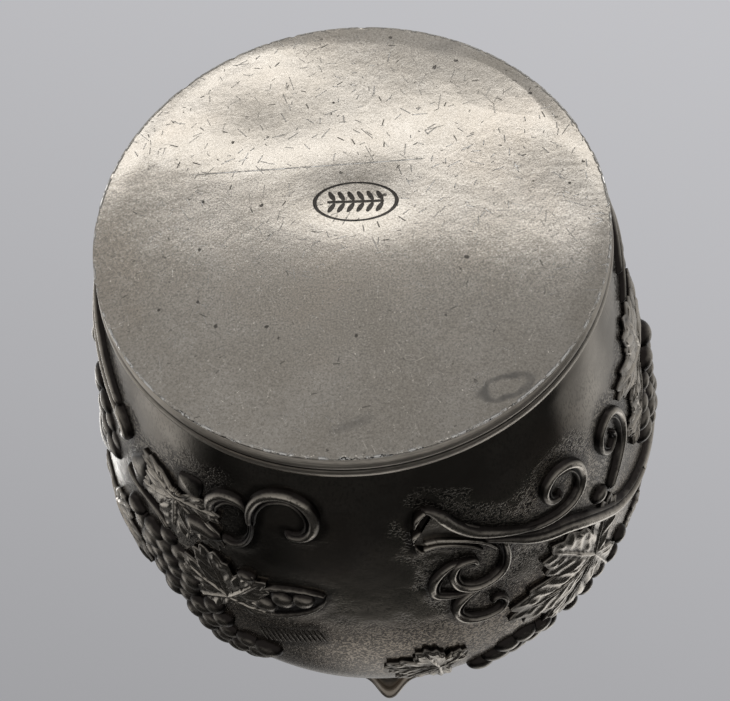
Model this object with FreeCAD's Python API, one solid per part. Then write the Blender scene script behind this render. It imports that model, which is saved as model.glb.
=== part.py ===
import FreeCAD, Part
import math
import os
from FreeCAD import Vector

# Pewter tankard: pot-bellied body with a grapevine in relief, a pouring lip and a
# branch-shaped handle. Millimetres. Origin: centre of the underside of the base.
# +Z runs up to the mouth, the lip points to -Y, the handle stands out to +Y.

# ---- driving dimensions ------------------------------------------------------------
BASE_RADIUS = 40.0         # widest part of the foot, just above the base plate
PLATE_RADIUS = 39.8        # sharp lower edge of the base plate
PLATE_EDGE_HEIGHT = 0.7    # thin edge of the base plate that shows below the foot ring
PLATE_THICKNESS = 1.8
FOOT_TOP = 5.2             # joint between foot ring and body
FOOT_LOW_RADIUS = 39.3     # foot ring where it sits on the base plate
FOOT_BULGE = 0.4           # how far the foot ring swells past the base radius
FOOT_HIGH_RADIUS = 40.3    # upper edge of the foot ring, a small step outside the body
FOOT_INNER_RADIUS = 37.2
WALL = 2.0                 # cast pewter wall
HEIGHT = 122.0             # base to rim
NECK_JOINT = 104.0         # body halves end here, the neck collar begins
RIM_BEAD = 1.5             # radius of the bead around the mouth
BELLY_RADIUS = 54.2
BELLY_HEIGHT = 64.0
NECK_RADIUS = 41.2
NECK_HEIGHT = 108.0
MOUTH_RADIUS = 43.0

LIP_TIP = 48.7             # distance of the lip's point from the axis
LIP_START = 105.0          # height where the lip grows out of the neck
LIP_HALF_WIDTH = 8.0
LIP_POINT_RADIUS = 3.0
LIP_POINT_REACH = (0.75, 0.4)   # sideways and back from the point, in point radii
LIP_SHOULDER = 3.0         # how far inside the mouth radius the sides of the lip start
LIP_ROOM = 12.0            # how far the lip's cutting wedge reaches back into the neck
LIP_WALL = 1.6

HANDLE_CENTRE = (50.0, 73.0)    # y, z of the centre of the elliptical handle
HANDLE_REACH = 40.0             # half axis along Y
HANDLE_RISE = 30.0              # half axis along Z
HANDLE_SWEEP = (-100.0, 107.0)  # start and end of the arc, in degrees above +Y
HANDLE_RADIUS = 5.0
HANDLE_LEAF_RELIEF = 2.0
# leaf pads at the two ends of the handle: height, length, heading
HANDLE_LEAVES = {
    "handle_leaf_upper": (98.0, 20.0, 90),
    "handle_leaf_lower": (42.0, 16.0, -90),
}

LEAF_RELIEF = 1.5          # how far the ornament stands proud of the wall
BRANCH_RELIEF = 1.7
TENDRIL_RELIEF = 1.2
GRAPE_RADIUS = 2.2
BERRY_LIFT = 0.3           # centre of a berry above the wall
BERRY_PITCH = 2.06         # distance between berries in a row, in berry radii
ROW_PITCH = 0.9            # distance between rows, in pitches
PAD_RELIEF = 0.8           # thin pad that ties a bunch of grapes together
PAD_HALF_WIDTH = 0.38      # half width of the pad for each berry of the widest row, in pitches
PAD_END_WIDTH = 0.8        # width of the pad's broad end, as part of its full width
PAD_TIP = 1.0              # half width of the pad's tip

STROKE_STEPS = 14          # straight pieces in the outline of a stem or branch
CURL_STEP = 24             # degrees turned by each straight piece of a tendril's outline
FEWEST_CURL_STEPS = 8

SLIVER_VOLUME = 2.0        # trimmed-off bits smaller than this are dropped

SIDES = ("right", "left")  # the two castings are the same, half a turn apart

# outline of the body from foot to mouth: height, radius
OUTLINE = [
    (FOOT_TOP, BASE_RADIUS - 0.1),
    (18.0, BASE_RADIUS + 4.0),
    (34.0, BASE_RADIUS + 8.1),
    (50.0, BASE_RADIUS + 12.0),
    (BELLY_HEIGHT, BELLY_RADIUS),
    (78.0, BELLY_RADIUS - 1.4),
    (92.0, BELLY_RADIUS - 7.2),
    (NECK_HEIGHT, NECK_RADIUS),
    (HEIGHT, MOUTH_RADIUS),
]


# ---- body surface ------------------------------------------------------------------
def outline_curve(offset):
    """Curve of the body outline, moved outwards by offset."""
    curve = Part.BSplineCurve()
    curve.interpolate([Vector(radius + offset, 0, height) for height, radius in OUTLINE])
    return curve


WALL_CURVE = outline_curve(0.0)


def wall_at(height):
    """Radius of the outer wall and its slope dr/dz at a height."""
    low = WALL_CURVE.FirstParameter
    high = WALL_CURVE.LastParameter
    for _ in range(40):
        middle = (low + high) / 2
        if WALL_CURVE.value(middle).z < height:
            low = middle
        else:
            high = middle
    tangent = WALL_CURVE.tangent(low)[0]
    return WALL_CURVE.value(low).x, tangent.x / tangent.z


def wall_point(angle, height, proud=0.0):
    """Point on the wall; angle in degrees from the lip, growing towards -X."""
    turn = math.radians(angle)
    radius = wall_at(height)[0] + proud
    return Vector(-radius * math.sin(turn), -radius * math.cos(turn), height)


def revolve(edges):
    """Full turn about Z of the face inside edges, which lie in the XZ plane."""
    face = Part.Face(Part.Wire(Part.__sortEdges__(edges)))
    return face.revolve(Vector(0, 0, 0), Vector(0, 0, 1), 360)


def line(start, end):
    """Straight edge between two (radius, height) points of the XZ plane."""
    return Part.LineSegment(Vector(start[0], 0, start[1]), Vector(end[0], 0, end[1])).toShape()


def band_between(inner_offset, outer_offset):
    """Ring of revolution between two offsets of the body outline."""
    inner = outline_curve(inner_offset)
    outer = outline_curve(outer_offset)
    first_height, first_radius = OUTLINE[0]
    last_height, last_radius = OUTLINE[-1]
    bottom = line((first_radius + inner_offset, first_height),
                  (first_radius + outer_offset, first_height))
    top = line((last_radius + inner_offset, last_height),
               (last_radius + outer_offset, last_height))
    return revolve([inner.toShape(), top, outer.toShape(), bottom])


def core_inside(offset):
    """Everything inside the body outline moved by offset."""
    first_height, first_radius = OUTLINE[0]
    last_height, last_radius = OUTLINE[-1]
    axis = line((0, first_height), (0, last_height))
    bottom = line((0, first_height), (first_radius + offset, first_height))
    top = line((0, last_height), (last_radius + offset, last_height))
    return revolve([axis, top, outline_curve(offset).toShape(), bottom])


CORE = core_inside(0.0)
SHELL = band_between(-WALL, 0.0)
FIELD = 160.0              # larger than the whole object, for cutting blocks


def block(low, high):
    """Box between two corners."""
    size = [high[i] - low[i] for i in range(3)]
    return Part.makeBox(size[0], size[1], size[2], Vector(*low))


# ---- base, foot, body halves, neck and rim ------------------------------------------
def base_plate():
    """Disc with a thin sharp edge, its step sits inside the foot ring."""
    edge = Part.makeCylinder(PLATE_RADIUS, PLATE_EDGE_HEIGHT)
    step = Part.makeCylinder(FOOT_INNER_RADIUS, PLATE_THICKNESS)
    return edge.fuse(step).removeSplitter()


def foot_ring():
    """Rounded moulding between base plate and body."""
    low = (FOOT_LOW_RADIUS, PLATE_EDGE_HEIGHT)
    high = (FOOT_HIGH_RADIUS, FOOT_TOP)
    swell = Vector(BASE_RADIUS + FOOT_BULGE, 0, (PLATE_EDGE_HEIGHT + FOOT_TOP) / 2)
    moulding = Part.Arc(Vector(low[0], 0, low[1]), swell, Vector(high[0], 0, high[1]))
    inner_low = (FOOT_INNER_RADIUS, PLATE_EDGE_HEIGHT)
    inner_high = (FOOT_INNER_RADIUS, FOOT_TOP)
    return revolve([line(inner_low, low), moulding.toShape(),
                    line(high, inner_high), line(inner_high, inner_low)])


def body_half(side):
    """Half of the cast body; the seams run down the plain strips at lip and handle."""
    if side == "right":
        space = block((-FIELD, -FIELD, 0), (0, FIELD, NECK_JOINT))
    else:
        space = block((0, -FIELD, 0), (FIELD, FIELD, NECK_JOINT))
    return SHELL.common(space)


def lip_wedge(inset):
    """Solid wedge of the pouring lip, from a point on the neck to the mouth."""
    tip = LIP_TIP - inset
    half = LIP_HALF_WIDTH - inset
    start_radius = wall_at(LIP_START)[0]
    back = start_radius - LIP_ROOM
    front = start_radius - inset
    side = LIP_POINT_RADIUS * LIP_POINT_REACH[0]
    round_start = tip - LIP_POINT_RADIUS * LIP_POINT_REACH[1]
    shoulder_left = Vector(-half, LIP_SHOULDER - MOUTH_RADIUS, HEIGHT)
    shoulder_right = Vector(half, LIP_SHOULDER - MOUTH_RADIUS, HEIGHT)
    near_left = Vector(-side, -round_start, HEIGHT)
    near_right = Vector(side, -round_start, HEIGHT)
    edges = [
        Part.LineSegment(shoulder_left, near_left).toShape(),
        Part.Arc(near_left, Vector(0, -tip, HEIGHT), near_right).toShape(),
        Part.LineSegment(near_right, shoulder_right).toShape(),
        Part.LineSegment(shoulder_right, Vector(half, -back, HEIGHT)).toShape(),
        Part.LineSegment(Vector(half, -back, HEIGHT), Vector(-half, -back, HEIGHT)).toShape(),
        Part.LineSegment(Vector(-half, -back, HEIGHT), shoulder_left).toShape(),
    ]
    top = Part.Wire(Part.__sortEdges__(edges))
    apex = Part.Vertex(0, -front, LIP_START)
    return Part.makeLoft([apex, top], True, True)


def neck_collar():
    """Neck above the halves, open where the lip begins."""
    space = block((-FIELD, -FIELD, NECK_JOINT), (FIELD, FIELD, HEIGHT))
    return SHELL.common(space).cut(lip_wedge(LIP_WALL))


def rim_band():
    """Bead around the mouth, which stops at both sides of the lip."""
    bead = Part.makeTorus(MOUTH_RADIUS, RIM_BEAD, Vector(0, 0, HEIGHT - RIM_BEAD))
    return bead.cut(CORE).cut(lip_wedge(0.0))


def pouring_lip():
    """Folded lip in front of the neck."""
    return lip_wedge(0.0).cut(lip_wedge(LIP_WALL)).cut(CORE)


# ---- handle ------------------------------------------------------------------------
def handle_branch():
    """Branch handle: round rod swept along most of an ellipse, ends on the body."""
    centre = Vector(0, HANDLE_CENTRE[0], HANDLE_CENTRE[1])
    far_point = centre + Vector(0, HANDLE_REACH, 0)
    high_point = centre + Vector(0, 0, HANDLE_RISE)
    ellipse = Part.Ellipse(far_point, high_point, centre)
    low_end, high_end = (math.radians(turn) for turn in HANDLE_SWEEP)
    path = Part.ArcOfEllipse(ellipse, low_end, high_end).toShape()
    start = path.valueAt(path.FirstParameter)
    direction = path.tangentAt(path.FirstParameter)
    ring = Part.Wire(Part.makeCircle(HANDLE_RADIUS, start, direction))
    rod = Part.Wire(path).makePipeShell([ring], True, True)
    return rod.cut(CORE)


# ---- relief laid out on the wall ----------------------------------------------------
class WallFrame:
    """Plane that touches the wall at an angle and height, for laying out outlines."""

    def __init__(self, angle, height):
        turn = math.radians(angle)
        slope = wall_at(height)[1]
        outward = Vector(-math.sin(turn), -math.cos(turn), 0)
        self.origin = wall_point(angle, height)
        self.across = Vector(-math.cos(turn), math.sin(turn), 0)
        self.up = (outward * slope + Vector(0, 0, 1)).normalize()
        self.normal = (outward - Vector(0, 0, slope)).normalize()

    def place(self, across, up, depth=0.0):
        """Point of space for plane coordinates."""
        return self.origin + self.across * across + self.up * up + self.normal * depth

    def flatten(self, angle, height):
        """Plane coordinates of a point on the wall."""
        offset = wall_point(angle, height) - self.origin
        return offset.dot(self.across), offset.dot(self.up)


# lobes of a vine leaf: direction from the tip in degrees, reach of each lobe
LOBES = [(-140, 0.66), (-70, 0.86), (0, 1.0), (70, 0.86), (140, 0.66)]
# outline of one lobe: direction from its middle, part of its reach
LOBE_SHAPE = [(-32, 0.55), (-18, 0.84), (0, 1.0), (18, 0.84), (32, 0.55)]

# outline of a slim leaf in half lengths: along the leaf, to the side
BLADE_SHAPE = [(1.0, 0.0), (0.45, 0.5), (-0.2, 0.68), (-0.85, 0.5), (-1.0, 0.0),
               (-0.85, -0.5), (-0.2, -0.68), (0.45, -0.5)]

SINK = 14.0                # how deep an outline is extruded into the wall before trimming


def prism_at(frame, outline):
    """Straight prism through the wall with a flat outline."""
    points = [frame.place(a, b, -SINK) for a, b in outline]
    face = Part.Face(Part.makePolygon(points + [points[0]]))
    return face.extrude(frame.normal * (2 * SINK))


def raised(frame, outline, height):
    """Pad with a flat outline that follows the wall and stands proud by height."""
    return prism_at(frame, outline).common(band_between(0.0, height))


def stroke(frame, spine, widths, height):
    """Raised strip along a flat centre line; widths go from one end to the other."""
    left = []
    right = []
    last = len(spine) - 1
    for i, (a, b) in enumerate(spine):
        before = spine[max(i - 1, 0)]
        after = spine[min(i + 1, last)]
        run = math.hypot(after[0] - before[0], after[1] - before[1])
        side_a = -(after[1] - before[1]) / run
        side_b = (after[0] - before[0]) / run
        half = (widths[0] + (widths[1] - widths[0]) * i / last) / 2
        left.append((a + side_a * half, b + side_b * half))
        right.append((a - side_a * half, b - side_b * half))
    return raised(frame, left + right[::-1], height)


def smooth_spine(knots):
    """Points along a smooth curve through knots in the plane."""
    curve = Part.BSplineCurve()
    curve.interpolate([Vector(a, b, 0) for a, b in knots])
    first = curve.FirstParameter
    span = curve.LastParameter - first
    points = [curve.value(first + span * i / STROKE_STEPS) for i in range(STROKE_STEPS + 1)]
    return [(point.x, point.y) for point in points]


def wall_stroke(knots, widths, height):
    """Raised strip along knots given as (angle, height) on the wall."""
    middle = knots[len(knots) // 2]
    frame = WallFrame(*middle)
    flat = [frame.flatten(angle, level) for angle, level in knots]
    return stroke(frame, smooth_spine(flat), widths, height)


def spiral(angle, level, radii, sweep, widths):
    """Curled tendril: radius shrinks from radii[0] to radii[1] over the sweep (degrees)."""
    frame = WallFrame(angle, level)
    steps = max(FEWEST_CURL_STEPS, int(abs(sweep[1] - sweep[0]) / CURL_STEP))
    spine = []
    for i in range(steps + 1):
        part = i / steps
        turn = math.radians(sweep[0] + (sweep[1] - sweep[0]) * part)
        radius = radii[0] + (radii[1] - radii[0]) * part
        spine.append((radius * math.cos(turn), radius * math.sin(turn)))
    return stroke(frame, spine, widths, TENDRIL_RELIEF)


def vine_leaf(angle, level, length, heading):
    """Five-lobed vine leaf; heading turns its tip, 0 points along growing angle."""
    frame = WallFrame(angle, level)
    outline = []
    for lobe, reach in LOBES:
        for shift, part in LOBE_SHAPE:
            turn = math.radians(lobe + shift + heading)
            radius = length / 2 * reach * part
            outline.append((radius * math.cos(turn), radius * math.sin(turn)))
    return raised(frame, outline, LEAF_RELIEF)


def grape_bunch(angle, level, rows, heading):
    """Bunch of grapes half sunk in a thin pad: rows of berries narrowing to a tip."""
    frame = WallFrame(angle, level)
    turn = math.radians(heading)
    pitch = GRAPE_RADIUS * BERRY_PITCH
    last = (len(rows) - 1) / 2 * pitch * ROW_PITCH
    first = -last
    half = max(rows) * pitch * PAD_HALF_WIDTH
    broad = half * PAD_END_WIDTH
    corners = [(first - PAD_TIP, -broad), (0, -half), (last, -PAD_TIP), (last, PAD_TIP),
               (0, half), (first - PAD_TIP, broad)]
    outline = [(a * math.cos(turn) - b * math.sin(turn), a * math.sin(turn) + b * math.cos(turn))
               for a, b in corners]
    berries = []
    for row, count in enumerate(rows):
        for i in range(count):
            along = first + row * pitch * ROW_PITCH
            aside = (i - (count - 1) / 2) * pitch
            spot = frame.place(along * math.cos(turn) - aside * math.sin(turn),
                               along * math.sin(turn) + aside * math.cos(turn))
            berry_angle = math.degrees(math.atan2(-spot.x, -spot.y))
            centre = wall_point(berry_angle, spot.z, BERRY_LIFT)
            berries.append(Part.makeSphere(GRAPE_RADIUS, centre, frame.normal, -90, 90, 360))
    pad = prism_at(frame, outline).common(core_inside(PAD_RELIEF))
    return pad.fuse(berries).cut(CORE)


# ---- one casting's grapevine; angles grow from the lip towards the handle -----------
def leaf_blade(length, heading):
    """Flat outline of a slim pointed leaf."""
    turn = math.radians(heading)
    half = length / 2
    outline = []
    for along, aside in BLADE_SHAPE:
        a = along * half
        b = aside * half
        outline.append((a * math.cos(turn) - b * math.sin(turn),
                        a * math.sin(turn) + b * math.cos(turn)))
    return outline


def vine_branch():
    """Main branch: wide cut end next to the lip, climbs to the side and sinks again."""
    cut_end = wall_stroke([(13.5, 21.0), (20.0, 24.5), (29.0, 31.0), (37.0, 37.0)],
                          (9.0, 3.4), BRANCH_RELIEF)
    climb = wall_stroke([(36.0, 36.6), (44.0, 42.5), (52.0, 48.5), (60.0, 54.8), (70.0, 58.0)],
                        (3.4, 2.8), BRANCH_RELIEF)
    sink = wall_stroke([(70.0, 58.0), (82.0, 60.0), (94.0, 56.0), (104.0, 49.0), (112.0, 42.0)],
                       (2.8, 2.2), BRANCH_RELIEF)
    return cut_end.fuse([climb, sink])


def vine_stems():
    """Twin stems that run low around the side and meet in a knot."""
    upper = wall_stroke([(94.0, 13.0), (103.0, 14.0), (112.0, 16.5), (121.0, 19.0)],
                        (1.8, 1.6), TENDRIL_RELIEF)
    lower = wall_stroke([(94.0, 9.0), (103.0, 10.0), (112.0, 12.5), (122.0, 16.5)],
                        (1.8, 1.6), TENDRIL_RELIEF)
    knot = wall_stroke([(119.5, 17.6), (122.0, 17.6), (124.5, 17.6)], (5.0, 3.6), BRANCH_RELIEF)
    return upper.fuse([lower, knot])


# name: angle, height, start and end radius, start and end of the sweep, widths
TENDRILS = {
    "tendril_scroll": (44.0, 31.0, (7.2, 1.4), (95, -400), (2.2, 1.2)),
    "tendril_hanging": (22.5, 38.0, (5.2, 1.2), (20, 420), (1.8, 1.2)),
    "tendril_low": (22.5, 49.5, (4.6, 1.2), (150, 480), (1.8, 1.2)),
    "tendril_loop": (61.5, 33.0, (7.0, 2.4), (110, -250), (2.0, 1.3)),
    "tendril_side": (99.0, 70.0, (6.0, 1.6), (200, -160), (2.0, 1.2)),
    "scroll_large": (166.3, 18.0, (7.0, 2.0), (150, -250), (2.6, 1.4)),
    "scroll_small": (153.5, 23.5, (6.2, 3.4), (30, 330), (2.4, 1.4)),
}

# name: angle, height, length, heading of the tip (0 points along growing angle)
LEAVES = {
    "leaf_lip": (10.5, 64.0, 18.0, 200),
    "leaf_front": (45.0, 57.5, 27.0, 195),
    "leaf_side": (80.0, 25.0, 24.0, -100),
    "leaf_top": (70.0, 76.0, 21.0, 100),
    "leaf_high": (118.0, 62.0, 25.0, 60),
    "leaf_rear": (137.0, 28.0, 22.0, -70),
    "leaf_low": (151.0, 43.0, 19.0, 20),
    "leaf_pod": (166.0, 44.0, 13.0, 10),
}

# name: angle, height, berries in each row, heading of the tip
BUNCHES = {
    "grapes_front": (29.0, 73.0, (4, 4, 3, 2, 1), 160),
    "grapes_middle": (83.0, 43.5, (3, 4, 3, 2, 1), -60),
    "grapes_side": (92.0, 80.0, (3, 4, 3, 2), -20),
    "grapes_low": (109.0, 31.0, (3, 3, 2, 1), -100),
    "grapes_rear": (136.0, 50.0, (3, 4, 4, 3, 2), 70),
    "grapes_handle": (158.0, 68.0, (3, 3, 2, 1), 30),
}


def relief_pieces():
    """Name and shape of every piece of relief on the right-hand casting."""
    pieces = [("vine_branch", vine_branch()), ("vine_stems", vine_stems())]
    for name, bunch in BUNCHES.items():
        pieces.append((name, grape_bunch(*bunch)))
    for name, tendril in TENDRILS.items():
        pieces.append((name, spiral(*tendril)))
    for name, leaf in LEAVES.items():
        pieces.append((name, vine_leaf(*leaf)))
    return pieces


def without_slivers(shape):
    """The solids of a shape that are large enough to cast."""
    kept = [solid for solid in shape.Solids if solid.Volume > SLIVER_VOLUME]
    if len(kept) == 1:
        return kept[0]
    return Part.makeCompound(kept)


def handle_leaf(height, length, heading, handle):
    """Leaf pad that spreads the joint between the handle and the wall."""
    pad = raised(WallFrame(180.0, height), leaf_blade(length, heading), HANDLE_LEAF_RELIEF)
    return without_slivers(pad.cut(handle))


def trimmed(pieces):
    """Later pieces give way to earlier ones, so that no two share space."""
    result = []
    for name, shape in pieces:
        for _, other in result:
            if shape.BoundBox.intersect(other.BoundBox):
                shape = shape.cut(other)
        result.append((name, without_slivers(shape)))
    return result


# ---- assembly ----------------------------------------------------------------------
def main():
    os.makedirs("parts", exist_ok=True)
    nodes = {
        "base_plate": base_plate(),
        "foot_ring": foot_ring(),
        "neck_collar": neck_collar(),
        "rim_band": rim_band(),
        "pouring_lip": pouring_lip(),
        "handle_branch": handle_branch(),
    }
    for name, (height, length, heading) in HANDLE_LEAVES.items():
        nodes[name] = handle_leaf(height, length, heading, nodes["handle_branch"])
    for side in SIDES:
        nodes["body_half_" + side] = body_half(side)
    for name, shape in trimmed(relief_pieces()):
        for side in SIDES:
            piece = shape.copy()
            if side == "left":
                piece.rotate(Vector(0, 0, 0), Vector(0, 0, 1), 180)
            nodes[name + "_" + side] = piece
    for name, shape in nodes.items():
        shape.exportStep("parts/%s.step" % name)
        print("%-24s solids %d valid %s volume %.1f" % (
            name, len(shape.Solids), shape.isValid(), shape.Volume))


main()
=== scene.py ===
import math
import random

import bpy
import numpy as np
from mathutils import Matrix, Vector, noise
from mathutils.kdtree import KDTree


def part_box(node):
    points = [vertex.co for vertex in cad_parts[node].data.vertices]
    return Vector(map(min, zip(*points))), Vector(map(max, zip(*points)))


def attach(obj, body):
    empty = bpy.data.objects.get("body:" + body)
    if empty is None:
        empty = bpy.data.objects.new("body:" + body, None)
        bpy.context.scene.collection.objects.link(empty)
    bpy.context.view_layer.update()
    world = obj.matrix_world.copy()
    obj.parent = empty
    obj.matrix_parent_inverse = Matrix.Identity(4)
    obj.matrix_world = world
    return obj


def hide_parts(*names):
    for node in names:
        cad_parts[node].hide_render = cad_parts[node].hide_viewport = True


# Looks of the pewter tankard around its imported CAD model. Metres; the base rests at
# z = 0, the mouth is up, the pouring lip points to -Y and the handle stands out to +Y.
# Wall angles are in degrees from the lip, growing towards -X. Each side of the body is
# the same casting, half a turn apart, so the vine is described once, for 0 to 180.

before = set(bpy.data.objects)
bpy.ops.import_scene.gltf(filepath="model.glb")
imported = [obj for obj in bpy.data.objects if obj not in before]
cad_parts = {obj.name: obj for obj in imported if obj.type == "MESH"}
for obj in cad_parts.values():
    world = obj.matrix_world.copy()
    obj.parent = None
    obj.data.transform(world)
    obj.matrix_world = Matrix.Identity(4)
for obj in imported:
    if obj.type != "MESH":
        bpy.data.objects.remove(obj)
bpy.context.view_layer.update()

MM = 0.001
SIDES = {"right": 0, "left": 180}

# ---- sizes read from the CAD frame ------------------------------------------------------
PLATE_RADIUS = (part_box("base_plate")[1].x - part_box("base_plate")[0].x) / 2
PLATE_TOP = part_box("base_plate")[1].z
FOOT_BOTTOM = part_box("foot_ring")[0].z
FOOT_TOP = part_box("foot_ring")[1].z
NECK_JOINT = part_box("neck_collar")[0].z
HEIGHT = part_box("neck_collar")[1].z
BELLY_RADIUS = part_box("body_half_left")[1].x
LIP_TIP = -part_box("pouring_lip")[0].y
RIM_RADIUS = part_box("rim_band")[1].x
HANDLE_LOW, HANDLE_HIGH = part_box("handle_branch")

BASE_RADIUS = PLATE_RADIUS + 0.2 * MM
WALL = 2 * MM
BEAD = 1.5 * MM                 # radius of the bead round the mouth
NECK_RADIUS = BELLY_RADIUS - 13 * MM
NECK_HEIGHT = 108 * MM
MOUTH_RADIUS = RIM_RADIUS - BEAD

# outline of the body: height, radius
OUTLINE = [
    (FOOT_TOP, BASE_RADIUS - 0.1 * MM),
    (18 * MM, BASE_RADIUS + 4 * MM),
    (34 * MM, BASE_RADIUS + 8.1 * MM),
    (50 * MM, BASE_RADIUS + 12 * MM),
    (64 * MM, BELLY_RADIUS),
    (78 * MM, BELLY_RADIUS - 1.4 * MM),
    (92 * MM, BELLY_RADIUS - 7.2 * MM),
    (NECK_HEIGHT, NECK_RADIUS),
    (HEIGHT, MOUTH_RADIUS),
]


class Spline:
    """Natural cubic spline y(x) through a few knots."""

    def __init__(self, xs, ys):
        self.xs = np.array(xs, float)
        self.ys = np.array(ys, float)
        count = len(xs)
        step = np.diff(self.xs)
        system = np.eye(count)
        right = np.zeros(count)
        for i in range(1, count - 1):
            system[i, i - 1:i + 2] = step[i - 1], 2 * (step[i - 1] + step[i]), step[i]
            rise = (self.ys[i + 1] - self.ys[i]) / step[i]
            fall = (self.ys[i] - self.ys[i - 1]) / step[i - 1]
            right[i] = 6 * (rise - fall)
        self.bend = np.linalg.solve(system, right)
        self.step = step

    def __call__(self, x, slope=False):
        x = np.asarray(x, float)
        i = np.clip(np.searchsorted(self.xs, x) - 1, 0, len(self.step) - 1)
        h = self.step[i]
        a = (self.xs[i + 1] - x) / h
        b = (x - self.xs[i]) / h
        ya, yb = self.ys[i], self.ys[i + 1]
        ma, mb = self.bend[i], self.bend[i + 1]
        if slope:
            return (yb - ya) / h + h / 6 * (ma * (1 - 3 * a * a) + mb * (3 * b * b - 1))
        return a * ya + b * yb + h * h / 6 * (ma * (a ** 3 - a) + mb * (b ** 3 - b))


wall_radius = Spline(*zip(*OUTLINE))


def around_axis(angle, outward, z):
    """Points at wall angles, given how far they are from the axis and their height."""
    turn = np.radians(angle)
    return np.stack(np.broadcast_arrays(-outward * np.sin(turn), -outward * np.cos(turn), z), -1)


def on_wall(angle, height, proud=0):
    """Points on the outer wall, moved outwards along its normal. Arrays or numbers."""
    height = np.asarray(height, float)
    slope = wall_radius(height, slope=True)
    length = np.sqrt(1 + slope * slope)
    return around_axis(angle, wall_radius(height) + proud / length, height - proud * slope / length)


def beside(anchor, a, b):
    """Angle and height of a point a along the wall and b up the wall from an anchor."""
    angle, height = anchor
    slope = float(wall_radius(height, slope=True))
    level = height + b / math.sqrt(1 + slope * slope)
    return angle + np.degrees(a / wall_radius(level)), level


# ---- mesh helpers -----------------------------------------------------------------------
def grid_faces(rows, columns, first=0, closed=False, flip=False):
    """Quads of a grid of vertices; closed joins the last column to the first."""
    index = first + np.arange(rows * columns).reshape(rows, columns)
    if closed:
        index = np.concatenate([index, index[:, :1]], 1)
    quads = np.stack([index[:-1, :-1], index[:-1, 1:], index[1:, 1:], index[1:, :-1]], -1).reshape(-1, 4)
    return (quads if flip else quads[:, ::-1]).tolist()


def make_piece(name, points, faces, material, slot, replaced=(), **attributes):
    """Mesh object that rides on the body; attributes are per-vertex numbers."""
    mesh = bpy.data.meshes.new(name)
    mesh.from_pydata(np.asarray(points).reshape(-1, 3).tolist(), [], faces)
    mesh.validate()
    mesh.shade_smooth()
    for key, values in attributes.items():
        layer = mesh.attributes.new(key, "FLOAT", "POINT")
        layer.data.foreach_set("value", np.asarray(values, np.float32).ravel())
    mesh.materials.append(material)
    piece = bpy.data.objects.new(name, mesh)
    bpy.context.scene.collection.objects.link(piece)
    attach(piece, "root")
    if replaced:
        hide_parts(*replaced)
    return piece


def turned(points, degrees):
    """Points turned about Z, towards growing wall angle."""
    turn = math.radians(-degrees)
    c, s = math.cos(turn), math.sin(turn)
    matrix = np.array([[c, -s, 0], [s, c, 0], [0, 0, 1]])
    return np.asarray(points).reshape(-1, 3) @ matrix.T


def rough(points, scale, seed=0):
    """Smooth noise between about -1 and 1 at each point; scale is features per metre."""
    shift = Vector((seed * 3.1, seed * 1.7, seed * 2.3))
    values = [noise.noise(Vector(p) * scale + shift) for p in points.reshape(-1, 3)]
    return np.reshape(values, points.shape[:-1])


def smooth_curve(knots, per_span=10):
    """Points of a Catmull-Rom curve through 2D knots."""
    knots = [np.array(k, float) for k in knots]
    ends = [2 * knots[0] - knots[1]] + knots + [2 * knots[-1] - knots[-2]]
    result = []
    for i in range(1, len(ends) - 2):
        p0, p1, p2, p3 = ends[i - 1:i + 3]
        for t in np.linspace(0, 1, per_span, endpoint=False):
            result.append(0.5 * (2 * p1 + (p2 - p0) * t + (2 * p0 - 5 * p1 + 4 * p2 - p3) * t * t
                                 + (3 * p1 - p0 - 3 * p2 + p3) * t ** 3))
    result.append(knots[-1])
    return np.array(result)


def smoothstep(low, high, x):
    t = np.clip((np.asarray(x, float) - low) / (high - low), 0, 1)
    return t * t * (3 - 2 * t)


# ---- materials --------------------------------------------------------------------------
class Nodes:
    """A node tree with short calls for adding and linking nodes."""

    def __init__(self, tree):
        self.tree = tree
        tree.nodes.clear()

    def add(self, kind, inputs=(), **settings):
        node = self.tree.nodes.new("ShaderNode" + kind)
        for key, value in settings.items():
            setattr(node, key, value)
        for key, value in dict(inputs).items():
            if isinstance(value, bpy.types.NodeSocket):
                self.tree.links.new(value, node.inputs[key])
            else:
                node.inputs[key].default_value = value
        return node

    def math(self, operation, *values):
        return self.add("Math", enumerate(values), operation=operation).outputs[0]

    def times(self, first, second):
        return self.math("MULTIPLY", first, second)

    def plus(self, first, second):
        return self.math("ADD", first, second)

    def minus(self, first, second):
        return self.math("SUBTRACT", first, second)

    def most(self, first, second):
        return self.math("MAXIMUM", first, second)

    def size(self, value):
        return self.math("ABSOLUTE", value)

    def dot(self, vector, direction):
        made = self.add("VectorMath", {0: vector, 1: direction}, operation="DOT_PRODUCT")
        return made.outputs["Value"]

    def axes(self, vector):
        return self.add("SeparateXYZ", {0: vector}).outputs

    def ramp(self, value, low, high, start=0, end=1):
        """Smooth step from start to end as the value goes from low to high."""
        node = self.add("MapRange", {"Value": value, "From Min": low, "From Max": high, "To Min": start,
                                     "To Max": end}, interpolation_type="SMOOTHSTEP")
        return node.outputs[0]

    def blend(self, factor, first, second):
        """Shader between two shader nodes."""
        return self.add("MixShader", {0: factor, 1: first.outputs[0], 2: second.outputs[0]})


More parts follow.
